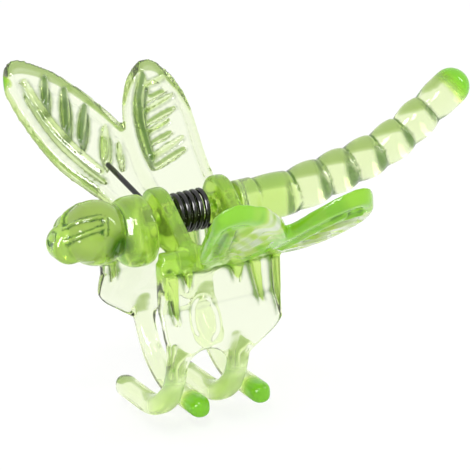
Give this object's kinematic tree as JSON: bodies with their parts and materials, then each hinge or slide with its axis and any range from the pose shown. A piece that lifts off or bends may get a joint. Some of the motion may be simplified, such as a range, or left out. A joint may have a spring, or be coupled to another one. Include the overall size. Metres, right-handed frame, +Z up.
{
  "type": "orchid clip",
  "caption": "Dragonfly-shaped spring clip: two hinged plastic halves with wings to squeeze and crossing claws that close round a plant stem and its stake.",
  "frame": {"origin": "centre of the round grip that the closed claws make for the stem", "axes": "+X along the body from the head to the tail, parallel to the hinge and the grip; +Y to the side of the half with the body; +Z up from the claws to the wings"},
  "size_m": [0.0549, 0.0578, 0.0353],
  "materials": {
    "green_plastic": "gloss",
    "green_plastic_wing_half": "gloss",
    "black_spring_steel": "satin",
    "green_plastic_pin": "gloss"
  },
  "bodies": {
    "body": {"body_half": "green_plastic", "hinge_pin": "green_plastic_pin", "torsion_spring": "black_spring_steel"},
    "wing_side": {"wing_half": "green_plastic_wing_half"}
  },
  "joints": [
    {"name": "hinge", "type": "hinge", "parent": "body", "child": "wing_side", "pos_m": [0, 0, 0.013], "axis": [-1, 0, 0], "range_deg": [0, 60], "stiffness_Nm_per_rad": 0.02, "springref_deg": -28.65, "deforming": ["torsion_spring"]}
  ]
}
